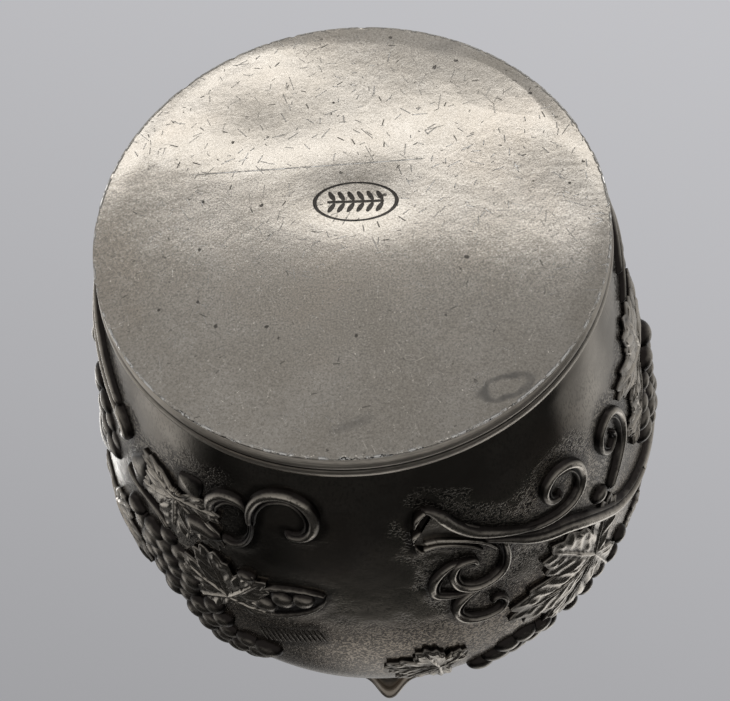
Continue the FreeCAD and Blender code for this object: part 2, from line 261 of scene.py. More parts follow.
class Shader(Nodes):
    """Nodes of a material, laid out by the place on the object."""

    def __init__(self, name):
        self.material = bpy.data.materials.new(name)
        self.material.use_nodes = True
        super().__init__(self.material.node_tree)
        self.place = self.add("TexCoord").outputs["Object"]

    def attribute(self, name):
        return self.add("Attribute", attribute_name=name).outputs["Fac"]

    def stretched(self, scale, turn=0):
        """Object place, turned about Z and scaled along each axis."""
        spun = self.add("Mapping", {"Vector": self.place, "Rotation": (0, 0, math.radians(turn))})
        return self.add("Mapping", {"Vector": spun.outputs[0], "Scale": scale}).outputs[0]

    def noise(self, scale, detail=3, roughness=0.55, vector=None, distortion=0):
        node = self.add("TexNoise", {"Vector": vector or self.place, "Scale": scale, "Detail": detail,
                                     "Roughness": roughness, "Distortion": distortion})
        return node.outputs["Fac"]

    def mix(self, factor, first, second):
        return self.add("Mix", {0: factor, 6: first, 7: second}, data_type="RGBA").outputs[2]

    def bump(self, height, strength, distance, normal=None):
        inputs = {"Height": height, "Strength": strength, "Distance": distance}
        if normal is not None:
            inputs["Normal"] = normal
        return self.add("Bump", inputs).outputs[0]

    def finish(self, shader):
        self.add("OutputMaterial", {0: shader.outputs[0]})
        return self.material

    def metal(self, colour, roughness, normal):
        return self.finish(self.add("BsdfPrincipled", {
            "Metallic": 1, "Base Color": colour, "Roughness": roughness, "Normal": normal}))


PEWTER_BRIGHT = (0.80, 0.735, 0.645, 1)
PEWTER_MID = (0.46, 0.420, 0.366, 1)
PEWTER_DULL = (0.28, 0.255, 0.222, 1)
# black of the patina; on the wall it also paints the shade beside the relief
PATINA = (0.035, 0.030, 0.028, 1)
WALL_BROWN = (0.36, 0.305, 0.245, 1)
BELLY_BROWN = (0.43, 0.36, 0.285, 1)
TRIM_BROWN = (0.40, 0.335, 0.275, 1)
RELIEF_WORN = (0.64, 0.585, 0.51, 1)
SATIN_DARK = (0.51, 0.468, 0.41, 1)
SATIN_LIGHT = (0.61, 0.57, 0.515, 1)
SATIN_BROWN = (0.54, 0.47, 0.39, 1)
GRAIN_DARK = (0.30, 0.28, 0.25, 1)
GRAIN_LIGHT = (0.86, 0.83, 0.79, 1)
SCRATCH_BRIGHT = (0.97, 0.96, 0.94, 1)
PIT_BLACK = (0.09, 0.082, 0.075, 1)
# grey of the stains, also used for the painted shade on the base
STAIN_AND_SHADE_GREY = (0.17, 0.165, 0.16, 1)
MARK_BLACK = (0.03, 0.028, 0.026, 1)
BOWL_DARK = (0.34, 0.325, 0.30, 1)
BOWL_LIGHT = (0.52, 0.50, 0.475, 1)


def wall_pewter():
    """Burnished wall: matted with small punch marks, with patina and a painted shade around the relief.
    """
    s = Shader("wall_pewter")
    matting = s.attribute("matting")
    # shade: patina and painted shade on the wall beside the relief
    shade = s.attribute("shade")
    cloud = s.noise(90, 4, 0.6)
    fine = s.noise(2600, 2, 0.6)
    punch = s.noise(2050, 1, 0.45, distortion=0.4)
    pits = s.ramp(punch, 0.54, 0.45)
    dashes = s.noise(1, 2, 0.5, vector=s.stretched((2800, 2800, 900)))
    dashes = s.times(s.ramp(dashes, 0.48, 0.40), s.ramp(cloud, 0.35, 0.6, 0.05, 0.6))
    pits = s.most(s.times(pits, matting), s.times(dashes, 0.6))
    colour = s.mix(s.ramp(cloud, 0.3, 0.75), PEWTER_DULL, PEWTER_MID)
    tint = s.ramp(s.noise(55, 3), 0.5, 0.75, 0, 0.6)
    colour = s.mix(tint, colour, WALL_BROWN)
    colour = s.mix(s.ramp(s.axes(s.place)[2], 43 * MM, 50 * MM, 0, 0.6), colour, BELLY_BROWN)
    dark = s.most(s.times(pits, 0.84), shade)
    dark = s.times(dark, s.ramp(s.noise(500, 3), 0.25, 0.6, 0.75, 1))
    colour = s.mix(dark, colour, PATINA)
    roughness = s.plus(0.09, s.times(matting, 0.08))
    roughness = s.plus(roughness, s.times(fine, 0.06))
    soft = s.bump(s.noise(120, 3, 0.5), 0.08, 0.0005)
    depth = s.times(s.plus(s.times(matting, 0.9), 0.12), -1)
    normal = s.bump(s.times(pits, depth), 0.7, 0.00007, soft)
    normal = s.bump(fine, 0.10, 0.00003, normal)
    return s.metal(colour, roughness, normal)


def relief_pewter(name="relief_pewter", hollow=1):
    """Cast relief: bright where it is rubbed, black patina low down and in hollows."""
    s = Shader(name)
    rise = s.attribute("rise")
    cloud = s.noise(420, 4, 0.6)
    fine = s.noise(2600, 3, 0.6)
    rubbed = s.plus(rise, s.times(s.minus(cloud, 0.5), 0.45))
    colour = s.mix(s.ramp(rubbed, 0.40, 0.95), PEWTER_DULL, RELIEF_WORN)
    deep = s.times(s.ramp(rubbed, 0.54, 0.16), hollow)
    colour = s.mix(deep, colour, PATINA)
    speck = s.ramp(s.noise(1500, 2), 0.60, 0.70, 0, 0.55)
    colour = s.mix(speck, colour, PATINA)
    roughness = s.ramp(rubbed, 0.2, 0.9, 0.37, 0.19)
    normal = s.bump(cloud, 0.45, 0.00025)
    normal = s.bump(fine, 0.35, 0.00005, normal)
    return s.metal(colour, roughness, normal)


def trim_pewter():
    """Turned and burnished rings: fine lathe lines, soft stains, worn high edges."""
    s = Shader("trim_pewter")
    rise = s.attribute("rise")
    lines = s.noise(900, 2, 0.5, vector=s.stretched((0.06, 0.06, 3)))
    cloud = s.noise(160, 4, 0.6)
    colour = s.mix(s.ramp(cloud, 0.3, 0.7), PEWTER_DULL, PEWTER_MID)
    colour = s.mix(s.ramp(s.noise(70, 3), 0.45, 0.7, 0, 0.6), colour, TRIM_BROWN)
    colour = s.mix(s.ramp(rise, 0.55, 1, 0, 0.8), colour, PEWTER_BRIGHT)
    colour = s.mix(s.ramp(rise, 0.45, 0.05, 0, 0.9), colour, PATINA)
    streaks = s.noise(900, 3, 0.6, vector=s.stretched((0.25, 0.25, 2)))
    colour = s.mix(s.ramp(streaks, 0.56, 0.72, 0, 0.35), colour, PATINA)
    roughness = s.plus(0.28, s.times(lines, 0.16))
    normal = s.bump(lines, 0.45, 0.00010)
    normal = s.bump(s.noise(420, 3), 0.4, 0.0002, normal)
    return s.metal(colour, roughness, normal)


def strokes(s, scale, seed, length, width, share, group):
    """Straight strokes, at most one in a cell; group 1 makes neighbours nearly parallel."""
    moved = s.add("Mapping", {"Vector": s.place, "Location": (seed, seed * 0.7, 0)}).outputs[0]
    cell = s.add("TexVoronoi", {"Vector": moved, "Scale": scale}, voronoi_dimensions="2D")
    away = s.add("VectorMath", {0: moved, 1: cell.outputs["Position"]}, operation="SUBTRACT")
    chance = s.add("SeparateColor", {"Color": cell.outputs["Color"]})
    common = s.times(s.noise(45, 1, vector=cell.outputs["Position"]), 16 * group)
    turn = s.plus(s.times(chance.outputs[0], 6.3 - 5.3 * group), common)
    spun = s.add("VectorRotate", {"Vector": away.outputs[0], "Angle": turn}, rotation_type="Z_AXIS")
    along, aside, _ = s.axes(spun.outputs[0])
    reach = s.ramp(chance.outputs[1], 0, 1, length * 0.35, length)
    inside = s.ramp(s.minus(s.size(along), reach), 0, -0.3 * MM)
    thin = s.ramp(s.size(aside), width, width * 0.35)
    return s.times(s.times(inside, thin), s.ramp(chance.outputs[2], share, share - 0.03))


MARK_PLACE = (-1 * MM, 3.5 * MM)      # middle of the struck mark on the underside
MARK_SIZE = (6.4 * MM, 3.6 * MM)        # half width and half depth of its oval
LEAFLET_PITCH = 1.5 * MM


def ornament(s):
    """0 to 1 where the small generic mark is struck: an oval line around a leafy sprig."""
    moved = s.add("VectorMath", {0: s.place, 1: (*MARK_PLACE, 0)}, operation="SUBTRACT")
    a, b, _ = s.axes(moved.outputs[0])
    wave = s.times(s.minus(s.noise(1400, 1), 0.5), 0.10 * MM)
    stretched = s.times(b, MARK_SIZE[0] / MARK_SIZE[1])
    around = s.math("SQRT", s.plus(s.times(a, a), s.times(stretched, stretched)))
    off_ring = s.size(s.minus(around, MARK_SIZE[0]))
    depth = s.ramp(s.plus(off_ring, wave), 0.32 * MM, 0.16 * MM)
    along = s.size(a)
    within = s.ramp(along, LEAFLET_PITCH * 2.95, LEAFLET_PITCH * 2.85)
    aside = s.size(b)
    stem = s.ramp(s.plus(aside, wave), 0.26 * MM, 0.12 * MM)
    across = s.minus(s.math("FRACT", s.math("DIVIDE", a, LEAFLET_PITCH)), 0.5)
    across = s.times(across, LEAFLET_PITCH)
    over = s.minus(aside, 1.10 * MM)
    slant_a = s.times(s.plus(across, s.times(over, -0.45)), 1 / (0.42 * MM))
    slant_b = s.times(over, 1 / (0.84 * MM))
    leaflet = s.plus(s.times(slant_a, slant_a), s.times(slant_b, slant_b))
    sprig = s.most(stem, s.ramp(leaflet, 1.15, 0.75))
    return s.most(depth, s.times(sprig, within))


HAIRLINE_ACROSS = (0.047, 0.999, 0)    # square to the one long hairline scratch
HAIRLINE_OFFSET = 10.7 * MM
HAIRLINE_MIDDLE = 7 * MM
HAIRLINE_HALF = 19 * MM


def base_pewter():
    """Underside of the base: satin with a fine grain, straight scratches, pits, stains and a painted
    shade towards -X and -Y.
    """
    s = Shader("base_pewter")
    mark = ornament(s)
    stain = s.attribute("stain")
    cloud = s.noise(70, 5, 0.62)
    sand = s.noise(3300, 3, 0.7)
    grain = s.noise(1, 3, 0.6, vector=s.stretched((1100, 2600, 900), 38))
    bright = strokes(s, 260, 0.013, 1.2 * MM, 0.085 * MM, 0.65, 0.9)
    for scale, seed, length, width, share in ((380, 0.031, 0.8 * MM, 0.080 * MM, 0.7),
                                              (190, 0.057, 1.6 * MM, 0.070 * MM, 0.4)):
        bright = s.most(bright, strokes(s, scale, seed, length, width, share, 0.8))
    bright = s.times(bright, s.ramp(s.noise(60, 2), 0.42, 0.62, 0.15, 1))
    worn_side = s.ramp(s.dot(s.place, (-0.5, 0.86, 0)), -22 * MM, 18 * MM, 0.40, 1)
    bright = s.times(bright, worn_side)
    from_axis = s.add("VectorMath", {0: s.place}, operation="LENGTH").outputs["Value"]
    worn_edge = s.ramp(from_axis, PLATE_RADIUS - 0.50 * MM, PLATE_RADIUS - 0.20 * MM)
    worn_edge = s.times(worn_edge, s.ramp(s.noise(650, 3), 0.44, 0.58, 0.06, 1))
    bright = s.most(bright, worn_edge)
    beside_hair = s.minus(s.dot(s.place, HAIRLINE_ACROSS), HAIRLINE_OFFSET)
    hair = s.ramp(s.size(beside_hair), 0.12 * MM, 0.04 * MM)
    from_middle = s.size(s.minus(s.axes(s.place)[0], HAIRLINE_MIDDLE))
    hair = s.times(hair, s.ramp(from_middle, HAIRLINE_HALF, HAIRLINE_HALF - 4 * MM))
    hair = s.times(hair, s.ramp(s.noise(320, 2), 0.35, 0.55, 0.2, 0.9))
    bright = s.most(bright, hair)
    nicks = strokes(s, 250, 0.091, 0.75 * MM, 0.10 * MM, 0.60, 0.3)
    nicks = s.times(nicks, s.ramp(s.noise(700, 2), 0.42, 0.60, 0, 0.8))
    wobble = s.times(s.minus(s.noise(1500, 2), 0.5), 0.16)
    pit_cells = s.add("TexVoronoi", {"Vector": s.place, "Scale": 250})
    pits = s.ramp(s.plus(pit_cells.outputs["Distance"], wobble), 0.085, 0.045)
    chance = s.add("SeparateColor", {"Color": pit_cells.outputs["Color"]}).outputs[0]
    pits = s.times(pits, s.ramp(chance, 0.30, 0.40))
    pits = s.most(pits, nicks)
    colour = s.mix(s.ramp(cloud, 0.3, 0.7), SATIN_DARK, SATIN_LIGHT)
    warm = s.ramp(s.noise(38, 3), 0.50, 0.72, 0, 0.45)
    colour = s.mix(warm, colour, SATIN_BROWN)
    colour = s.mix(s.ramp(sand, 0.52, 0.34, 0, 0.60), colour, GRAIN_DARK)
    colour = s.mix(s.ramp(sand, 0.54, 0.66, 0, 0.3), colour, GRAIN_LIGHT)
    colour = s.mix(s.times(bright, 0.85), colour, SCRATCH_BRIGHT)
    colour = s.mix(s.times(pits, 0.8), colour, PIT_BLACK)
    # stain holds the real stains and the painted shade towards -X and -Y of the plate
    colour = s.mix(s.times(stain, 0.75), colour, STAIN_AND_SHADE_GREY)
    colour = s.mix(s.times(mark, 0.96), colour, MARK_BLACK)
    roughness = s.plus(0.10, s.times(sand, 0.07))
    normal = s.bump(s.plus(sand, s.times(grain, 0.7)), 0.16, 0.00003)
    struck = s.plus(s.plus(bright, pits), s.times(mark, 3))
    normal = s.bump(s.times(struck, -1), 1, 0.00032, normal)
    normal = s.bump(s.noise(300, 3), 0.12, 0.0002, normal)
    return s.metal(colour, roughness, normal)


def inside_pewter():
    """Inside of the bowl: dull grey, with faint rings."""
    s = Shader("inside_pewter")
    cloud = s.noise(60, 5, 0.6)
    rings = s.noise(500, 2, 0.5, vector=s.stretched((0.05, 0.05, 2)))
    colour = s.mix(s.ramp(cloud, 0.3, 0.7), BOWL_DARK, BOWL_LIGHT)
    roughness = s.plus(0.40, s.times(rings, 0.14))
    return s.metal(colour, roughness, s.bump(rings, 0.25, 0.0001))


WALL_METAL = wall_pewter()
RELIEF_METAL = relief_pewter()
HANDLE_METAL = relief_pewter("handle_pewter", 0.8)
TRIM_METAL = trim_pewter()
BASE_METAL = base_pewter()
INSIDE_METAL = inside_pewter()


# ---- base and foot ----------------------------------------------------------------------
# dark tarnish marks: x, y, half length, half width in mm, ring 1 or filled 0, strength
STAINS = [(-22.5, -29.3, 3.5, 1.5, 1, 1), (-1.5, -34.5, 5, 1.4, 0, 0.55),
          (9, -33, 3.5, 1.2, 0, 0.18), (-26.6, -27.6, 1.2, 0.9, 0, 0.55),
          (-16, 35, 5, 1.8, 0, 0.30), (26, 24, 3, 2, 0, 0.18)]
STAIN_TILT = (0.94, 0.34)       # cosine and sine of their slant
# broad dents of the plate: x, y, reach along each axis, depth, all in mm
DENTS = [(15, 26, 9, 7.5, 0.29), (-1, 4.2, 7.5, 4.4, 0.20), (-22, 24, 9, 7, -0.16),
         (-32, 2, 8, 7, 0.14), (24, 2, 9, 6, 0.10), (6, -22, 14, 8, 0.05)]
# thin edge of the plate: how far in from its rim, height, both in mm
PLATE_EDGE = [(0.12, 0.15), (0.03, 0.22), (0, 0.38), (0.05, 0.60), (0.30, 0.72), (1.2, 0.82)]
PLATE_STEP = 2.9 * MM           # the raised middle is this much smaller in radius
BASE_CELLS = 260


def disc_grid(cells, radius):
    """Square grid bent into a disc: x, y of each vertex."""
    side = np.linspace(-1, 1, cells + 1)
    u, v = np.meshgrid(side, side)
    return radius * u * np.sqrt(1 - v * v / 2), radius * v * np.sqrt(1 - u * u / 2)


def base_height(x, y):
    """Gentle dents of the thin disc, always above the plane it rests on."""
    r = np.hypot(x, y) / PLATE_RADIUS
    points = np.stack([x, y, 0 * x], -1)
    soft = rough(points, 30, 4)
    small = rough(points, 90, 9)
    height = 0.25 * MM * (1 - r * r) + 0.05 * MM * soft + 0.02 * MM * small
    for dent_x, dent_y, reach_x, reach_y, depth in DENTS:
        far = ((x / MM - dent_x) / reach_x) ** 2 + ((y / MM - dent_y) / reach_y) ** 2
        height = height + depth * MM * np.exp(-far / 2)
    edge = smoothstep(0.90, 1, r)
    return np.maximum(height * (1 - edge) + 0.14 * MM * edge + 0.03 * MM, 0.02 * MM)


def base_plate():
    """Thin disc with dents, stains, a painted shade towards -X and -Y and a nicked edge; its upper side
    is seen in the bowl.
    """
    x, y = disc_grid(BASE_CELLS, PLATE_RADIUS - 0.35 * MM)
    z = base_height(x, y)
    wobble = rough(np.stack([x, y, 0 * x], -1), 700, 2)
    stain = np.zeros(x.shape)
    for stain_x, stain_y, half_length, half_width, ringed, strength in STAINS:
        a = (x / MM - stain_x) * STAIN_TILT[0] - (y / MM - stain_y) * STAIN_TILT[1]
        b = (y / MM - stain_y) * STAIN_TILT[0] + (x / MM - stain_x) * STAIN_TILT[1]
        off = np.abs(np.hypot(a / half_length, b / half_width) - ringed + 0.25 * wobble)
        reach = 0.40 if ringed else 1.1
        patchy = 0.7 + 0.3 * smoothstep(-0.6, -0.1, wobble)
        stain = np.maximum(stain, strength * smoothstep(reach, 0.12, off) * patchy)
    points = np.stack([x, y, z], -1).reshape(-1, 3)
    rows = BASE_CELLS + 1
    faces = grid_faces(rows, rows)
    index = np.arange(rows * rows).reshape(rows, rows)
    loop = list(index[0, :-1]) + list(index[:-1, -1]) + list(index[-1, :0:-1]) + list(index[:0:-1, 0])
    edge = points[loop]
    bearing = np.arctan2(edge[:, 1], edge[:, 0])
    nick_place = np.stack([np.cos(bearing), np.sin(bearing), 0 * bearing], -1)
    nick = rough(nick_place, 14, 5) + 0.8 * rough(nick_place, 45, 7)
    nick = smoothstep(0.25, 1, nick) * 0.30 * MM
    rings = [(PLATE_RADIUS - inset * MM - nick * (1 if height < 0.5 else 0.3), height * MM)
             for inset, height in PLATE_EDGE]
    rings += [(BASE_RADIUS - PLATE_STEP, rings[-1][1]), (BASE_RADIUS - PLATE_STEP, PLATE_TOP)]
    all_points = [points]
    previous = [int(i) for i in loop]
    count = len(points)
    for radius, height in rings:
        all_points.append(np.stack([radius * np.cos(bearing), radius * np.sin(bearing),
                                    np.full(len(loop), height)], -1))
        current = list(range(count, count + len(loop)))
        faces += map(list, zip(previous, previous[1:] + previous[:1], current[1:] + current[:1], current))
        previous = current
        count += len(loop)
    faces.append(previous[::-1])
    # painted shade: the plate is made darker towards -X and -Y, carried along with the real stains
    painted_side_shade = 0.22 * smoothstep(0.2, 1.1, (-0.75 * x - 0.66 * y) / PLATE_RADIUS)
    stains_and_painted_shade = np.concatenate([np.maximum(stain, painted_side_shade).ravel(), np.zeros(count - len(points))])
    piece = make_piece("base_disc", np.concatenate(all_points), faces, BASE_METAL, "base_pewter",
                       ["base_plate"], stain=stains_and_painted_shade)
    piece.data.materials.append(INSIDE_METAL)
    piece.data.polygons[len(faces) - 1].material_index = 1       # the side seen in the bowl


FOOT_SEGMENTS = 540
# section of the foot ring: bulge in mm, height from 0 to 1, and how far it is rubbed bright
FOOT_SECTION = [(-1.6, 0, 0), (-1.4, 0.03, 0), (-1.3, 0.06, 0.2), (-1, 0.12, 0.7),
                (-0.65, 0.21, 0.85), (-0.30, 0.32, 0.9), (-0.02, 0.43, 0.85), (0.10, 0.51, 0.6),
                (0.04, 0.55, 0), (0.06, 0.58, 0), (0.24, 0.63, 0.6), (0.40, 0.70, 0.8),
                (0.50, 0.80, 0.85), (0.48, 0.90, 0.7), (0.30, 0.97, 0.4), (0, 1, 0.1),
                (-2.8, 1, 0.5), (-2.8, 0, 0.5)]


def foot_ring():
    """Moulded band: a groove above the plate, a broad round, a fine line and a small step."""
    angles = np.linspace(0, 2 * math.pi, FOOT_SEGMENTS, endpoint=False)
    c, s = np.cos(angles), np.sin(angles)
    uneven = 0.06 * MM * rough(np.stack([c, s, 0 * c], -1), 2.5, 3)
    rows = FOOT_SECTION + FOOT_SECTION[:1]
    points = [np.stack([(BASE_RADIUS + bulge * MM + uneven) * c, (BASE_RADIUS + bulge * MM + uneven) * s,
                        np.full(FOOT_SEGMENTS, FOOT_BOTTOM + (FOOT_TOP - FOOT_BOTTOM) * level)], -1)
              for bulge, level, _ in rows]
    faces = grid_faces(len(rows), FOOT_SEGMENTS, closed=True, flip=True)
    make_piece("foot_moulding", points, faces, TRIM_METAL, "trim_pewter", ["foot_ring"],
               rise=np.repeat([worn for _, _, worn in rows], FOOT_SEGMENTS))


# ---- the vine: one casting, described on the wall ---------------------------------------
TENDRIL_RISE = 1.25 * MM
BRANCH_RISE = 1.9 * MM
LEAF_RISE = 1.3 * MM
BERRY = 2.5 * MM
SINK = 0.35 * MM                # how far the edges of the relief reach into the wall

relief_places = []       # (angle, height) samples under the relief, for the wall's patina


def note_places(angles, heights):
    relief_places.extend(zip(np.ravel(angles), np.ravel(heights)))


def strip(knots, widths, rise, section, taper=(1, 1), across=17, per_span=12):
    """Raised strip along (angle, height mm) knots. section(u) is its profile over -1..1."""
    middle_angle = sum(k[0] for k in knots) / len(knots)
    middle_height = sum(k[1] for k in knots) / len(knots) * MM
    radius = float(wall_radius(middle_height))
    flat = [((k[0] - middle_angle) * math.radians(1) * radius, k[1] * MM - middle_height)
            for k in knots]
    path = smooth_curve(flat, per_span)
    along = np.gradient(path, axis=0)
    length = np.hypot(along[:, 0], along[:, 1])
    side = np.stack([-along[:, 1], along[:, 0]], -1) / length[:, None]
    travel = np.concatenate([[0], np.cumsum(np.hypot(*np.diff(path, axis=0).T))])
    t = travel / travel[-1]
    half = np.interp(t, np.linspace(0, 1, len(widths)), widths) * MM / 2
    ends = np.ones_like(t)
    if taper[0]:
        ends = np.minimum(ends, np.sqrt(np.clip(travel / (half * 1.2), 0, 1)))
    if taper[1]:
        ends = np.minimum(ends, np.sqrt(np.clip((travel[-1] - travel) / (half * 1.2), 0, 1)))
    u = np.linspace(-1, 1, across)
    a = path[:, :1] + side[:, :1] * u * (half * ends)[:, None]
    b = path[:, 1:] + side[:, 1:] * u * (half * ends)[:, None]
    height = middle_height + b
    angle = middle_angle + np.degrees(a / radius)
    lift = rise * section(u)[None, :] * (0.35 + 0.65 * half / half.max())[:, None] * ends[:, None]
    lift[:, 0] = lift[:, -1] = -SINK
    note_places(angle[::2, ::4], height[::2, ::4])
    return angle, height, lift


def round_section(u):
    return np.sqrt(np.clip(1 - u * u, 0, 1)) ** 0.8


def beaded_section(u):
    """Broad round with a thin bead along its left edge, then a narrow groove."""
    broad = np.sqrt(np.clip(1 - ((u + 0.24) / 0.76) ** 2, 0, 1))
    bead = 0.72 * np.sqrt(np.clip(1 - ((u - 0.78) / 0.20) ** 2, 0, 1))
    return np.maximum(np.maximum(broad, bead), 0.22 * (1 - u * u))


def beaded_right(u):
    return beaded_section(-u)


def web_section(u):
    """Thin web with a slightly raised edge."""
    return smoothstep(1, 0.9, np.abs(u)) * (0.75 + 0.25 * u * u)


def joined_piece(name, node, grids, closed=False):
    """Joins grids of points and wear into one piece for each side, standing for the CAD node."""
    faces = []
    first = 0
    for points, worn in grids:
        faces += grid_faces(*worn.shape, first, closed)
        first += worn.size
    points = np.concatenate([points.reshape(-1, 3) for points, _ in grids])
    rise = np.concatenate([worn.ravel() for _, worn in grids])
    for side, turn in SIDES.items():
        make_piece(name + "_" + side, turned(points, turn), faces, RELIEF_METAL, "relief_pewter",
                   [node + "_" + side] if node else [], rise=rise)


def relief_piece(name, node, strips):
    """Lays strips of angle, height, lift and, on some, wear on the wall as one piece."""
    grids = []
    for angle, height, lift, *worn in strips:
        rubbed = worn[0] if worn else 0.95 * np.clip(lift / lift.max(), 0, 1) ** 2.5
        grids.append((on_wall(angle, height, lift), rubbed))
    joined_piece(name, node, grids)


VINE = {
    # piece: CAD node and its strands, each with knots (angle, height in mm), widths in mm from
    # start to end, rise, section and, on some, whether each end tapers and points across
    "curl_tendril_scroll": ("tendril_scroll", [
        ([(28.5, 27), (33, 30), (38, 32.2), (42, 33.2), (45.5, 33.2), (48.2, 31.6), (49.2, 28.6),
          (48, 25), (45.2, 22.8), (42, 22.4), (39.8, 24.6), (40.2, 27.6), (42.4, 28.8), (43.2, 27.4)],
         (0.4, 1.8, 2.3, 2.5, 2.3, 1.4), TENDRIL_RISE, beaded_right)]),
    "curl_tendril_hanging": ("tendril_hanging", [
        ([(28.8, 29.5), (29, 34), (27.8, 37.4), (25, 39), (21.6, 39), (18.8, 37), (18, 33.8),
          (19.4, 31.2), (22, 31.4), (23, 33.2)],
         (1.6, 1.9, 2.1, 2.1, 1.3), TENDRIL_RISE, beaded_section),
        # broad curl that ties it to the low tendril
        ([(19.6, 30.4), (16.6, 31.8), (14.4, 34.4), (14, 37.4), (15.8, 39), (18.6, 39.9), (21, 40.2)],
         (1.6, 2.2, 2, 1.2), TENDRIL_RISE * 0.8, beaded_right)]),
    "curl_tendril_low": ("tendril_low", [
        ([(25.6, 39.4), (21.6, 40.2), (18.6, 42.4), (17.7, 45.2), (19.2, 48), (22.6, 49.6),
          (25.8, 49.4), (27.2, 47.4), (25.8, 45.4), (24.4, 46.6)],
         (1.4, 2.2, 2.3, 1.8, 1.2), TENDRIL_RISE, beaded_right)]),
    "curl_tendril_loop": ("tendril_loop", [
        ([(56, 43), (60, 39.6), (63.8, 35.4), (64.6, 30.4), (62.8, 26), (59.6, 24.4), (56.8, 26.2),
          (56.4, 30), (58.6, 32.8), (61, 31.6), (60.6, 29.2)],
         (1.8, 2.3, 2.2, 1.8, 1.2), TENDRIL_RISE, beaded_right)]),
    "curl_tendril_side": ("tendril_side", [
        ([(92, 72), (96, 76), (101, 76), (104, 71), (102, 66), (98, 65.5), (96.5, 69), (98.6, 71.4)],
         (1.8, 2.2, 1.9, 1.2), TENDRIL_RISE, beaded_right)]),
    "curl_scroll_large": ("scroll_large", [
        ([(159.4, 20.5), (159.8, 16.4), (162, 12.9), (165.4, 11.2), (168.8, 11.2), (171.2, 12.8),
          (172.4, 15.2), (172, 17.8), (170.4, 19.6), (168.2, 20), (166.6, 19.2)],
         (1.4, 2.4, 2.8, 2.8, 2.4, 1.6), TENDRIL_RISE, beaded_section)]),
    "curl_scroll_small": ("scroll_small", [
        ([(150.4, 21.5), (150.8, 18.4), (153, 16), (156, 15.2), (158.4, 16.4), (159.4, 19.4), (159, 23),
          (157.4, 25.8), (155, 27.2), (152.4, 26.6)],
         (2.2, 3, 2.6, 1.1, 1, 1.6, 2), TENDRIL_RISE, beaded_section),
        ([(143.6, 28.6), (147, 27), (150.2, 27.4), (153, 28)],
         (3, 4.4, 3.2, 2), BRANCH_RISE, round_section)]),
    "branch": ("vine_branch", [
        # web, ridge and beads of the fishtail cut end
        ([(13.4, 19.6), (17.2, 21.4), (22, 24.4), (27.5, 28)],
         (7.4, 5.6, 4.2, 2.2), 0.45 * MM, web_section, (0, 1), 25),
        ([(13.8, 14.2), (15.6, 15.2), (17.4, 17.2), (19.4, 20), (22, 22.7), (25, 25), (29, 27.4),
          (34, 30.4), (38, 32.2)], (1, 2.2, 1.9, 1.8, 1.6, 1.2, 0.3), BRANCH_RISE * 0.8, round_section),
        ([(13, 22.2), (16, 22.4), (19, 23.6), (22.2, 25.4), (25.2, 27.9), (27.4, 31)],
         (0.8, 0.8, 0.7, 0.6), TENDRIL_RISE * 0.8, round_section, (1, 1), 9),
        ([(12.6, 24.2), (15.6, 24), (19, 25.2), (22.4, 27.4), (24.6, 29.8)],
         (0.9, 0.7, 0.5), TENDRIL_RISE * 0.7, round_section, (1, 1), 9),
        ([(14.8, 14.6), (12.8, 16), (11.8, 18.4)], (0.7, 0.9, 0.4), TENDRIL_RISE, round_section),
        ([(13.2, 19), (11.6, 20.2), (11.4, 21.4)], (0.5, 0.8, 0.4), TENDRIL_RISE, round_section),
        ([(13.4, 24.6), (12.2, 24), (11.6, 22.6)], (0.6, 0.8, 0.4), TENDRIL_RISE, round_section),
        # the branch itself, up to the side
        ([(25, 26.6), (29.4, 29.4), (34, 33), (38.4, 35.8), (42.6, 38), (47, 41.2), (52, 45.6),
          (57, 50), (63, 53.6), (70, 56)],
         (1.4, 2.8, 3.2, 3, 2.8), BRANCH_RISE * 0.85, beaded_right, (1, 0)),
        # its far end
        ([(69, 55.8), (82, 58), (94, 55), (104, 49), (112, 42), (116, 38)],
         (2.8, 2.6, 1.6), BRANCH_RISE * 0.75, round_section, (0, 1))]),
    "twin_stems": ("vine_stems", [
        # two stems
        ([(80, 15), (90, 12.6), (103, 13.6), (112, 16.2), (122, 19.4)],
         (1, 1.8, 1.7), TENDRIL_RISE * 0.9, round_section),
        ([(84, 11.4), (94, 9.2), (103, 10), (112, 12.6), (122, 16.8)],
         (1, 1.8, 1.7), TENDRIL_RISE * 0.9, round_section),
        # knot, vein, folded bud and the cut end beside it
        ([(120, 17.4), (123, 18), (125, 20.5), (123.5, 22.5), (121.6, 21.6)],
         (3, 2.8, 1.6), BRANCH_RISE * 0.8, round_section),
        ([(124.4, 31), (128, 33.4), (131.8, 33.8), (135.4, 34.6), (138.4, 37)],
         (1.4, 1, 1.4), TENDRIL_RISE * 0.8, round_section),
        ([(129.4, 33), (130.4, 27), (133, 20)], (2, 7, 1.6), TENDRIL_RISE, beaded_section, (1, 1), 21),
        ([(142, 21), (145, 18.2), (148, 15.4)],
         (2.4, 5.6, 3.6), TENDRIL_RISE * 0.7, round_section, (1, 1), 21)]),
}


# name: angle, height mm, length mm, heading (0 = growing angle, 90 = up), seed
LEAVES = {
    "leaf_lip": (9.5, 63.5, 18, 200, 1),
    "leaf_front": (42, 55.4, 34, 183, 2),
    "leaf_side": (80, 25, 26, -100, 3),
    "leaf_top": (70, 76, 25, 100, 4),
    "leaf_high": (118, 62, 28, 60, 5),
    "leaf_rear": (141, 27.6, 23, 95, 6),
    "leaf_low": (151.4, 41.6, 22, -110, 7),
}
# young leaf on the same stalk as the side leaf, beside the looped tendril
YOUNG_LEAF = (73.6, 38.5, 15.5, -95, 8)
LOBES = ((0, 1), (54, 0.88), (-54, 0.88), (112, 0.68), (-112, 0.68))
LEAF_SPOKES = 360
LEAF_RINGS = 40


